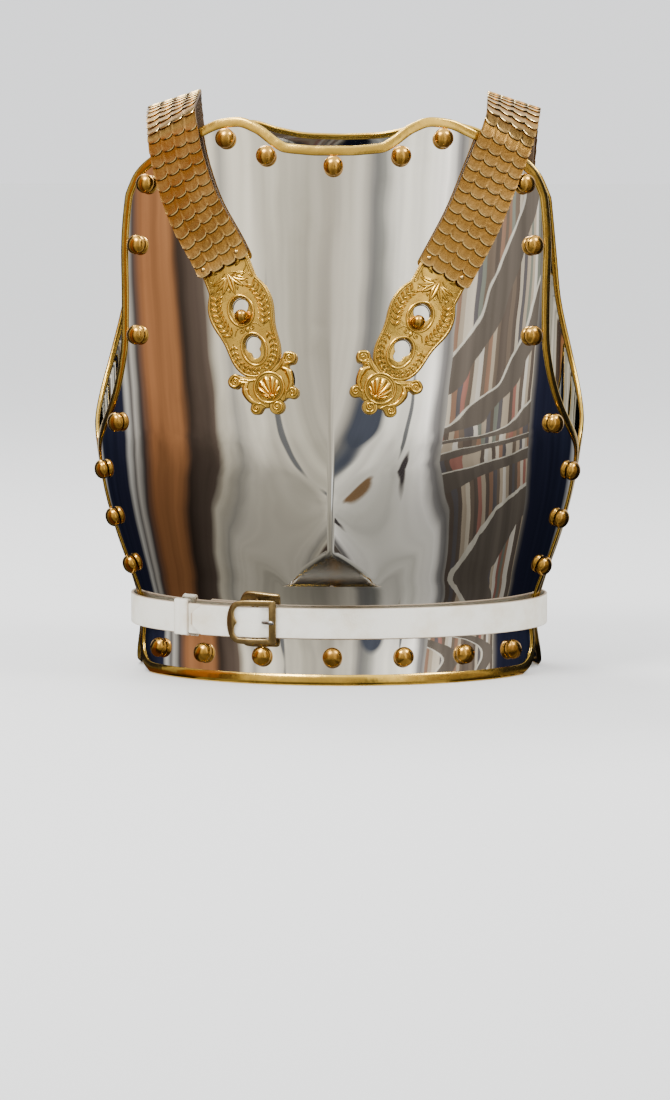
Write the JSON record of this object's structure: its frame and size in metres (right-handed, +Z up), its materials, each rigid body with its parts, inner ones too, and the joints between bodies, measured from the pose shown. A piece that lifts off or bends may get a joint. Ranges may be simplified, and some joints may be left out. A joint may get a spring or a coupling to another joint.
{
  "type": "cuirass",
  "caption": "Polished steel cuirass with brass edging and domed studs, scaled shoulder straps with gilt terminals, and a buckled white leather waist belt.",
  "frame": {"origin": "middle of the bounding box, at the foot of the flanges", "axes": "+Z up, -Y out of the breastplate, +X to the viewer's right when the breastplate faces the viewer"},
  "size_m": [0.4086, 0.2834, 0.4804],
  "materials": {
    "steel": "mirror polished",
    "brass": "polished",
    "gilt": "satin cast, gilt, polished on the raised work",
    "old_brass": "aged, worn",
    "leather": "whitened, matt",
    "strap_leather": "plain, matt"
  },
  "bodies": {
    "root": {"back_edging": "brass", "back_flange_edging": "brass", "back_stud_edge_1_left": "brass", "back_stud_edge_1_right": "brass", "back_stud_foot_1_middle": "brass", "back_stud_foot_2_left": "brass", "back_stud_foot_2_right": "brass", "back_stud_top_1_middle": "brass", "back_stud_top_2_left": "brass", "back_stud_top_2_right": "brass", "backplate": "steel", "belt": "leather", "belt_keeper": "leather", "breast_edging": "brass", "breast_flange_edging": "brass", "breast_stud_edge_1_left": "brass", "breast_stud_edge_1_right": "brass", "breast_stud_edge_2_left": "brass", "breast_stud_edge_2_right": "brass", "breast_stud_edge_3_left": "brass", "breast_stud_edge_3_right": "brass", "breast_stud_edge_4_left": "brass", "breast_stud_edge_4_right": "brass", "breast_stud_edge_5_left": "brass", "breast_stud_edge_5_right": "brass", "breast_stud_edge_6_left": "brass", "breast_stud_edge_6_right": "brass", "breast_stud_foot_1_middle": "brass", "breast_stud_foot_2_left": "brass", "breast_stud_foot_2_right": "brass", "breast_stud_foot_3_left": "brass", "breast_stud_foot_3_right": "brass", "breast_stud_foot_4_left": "brass", "breast_stud_foot_4_right": "brass", "breast_stud_top_1_middle": "brass", "breast_stud_top_2_left": "brass", "breast_stud_top_2_right": "brass", "breast_stud_top_3_left": "brass", "breast_stud_top_3_right": "brass", "breast_stud_top_4_left": "brass", "breast_stud_top_4_right": "brass", "breastplate": "steel", "buckle_frame": "old_brass", "buckle_prong": "steel", "left_button": "brass", "left_strap_leather": "strap_leather", "left_strap_scales": "brass", "left_terminal": "gilt", "right_button": "brass", "right_strap_leather": "strap_leather", "right_strap_scales": "brass", "right_terminal": "gilt"}
  },
  "joints": []
}
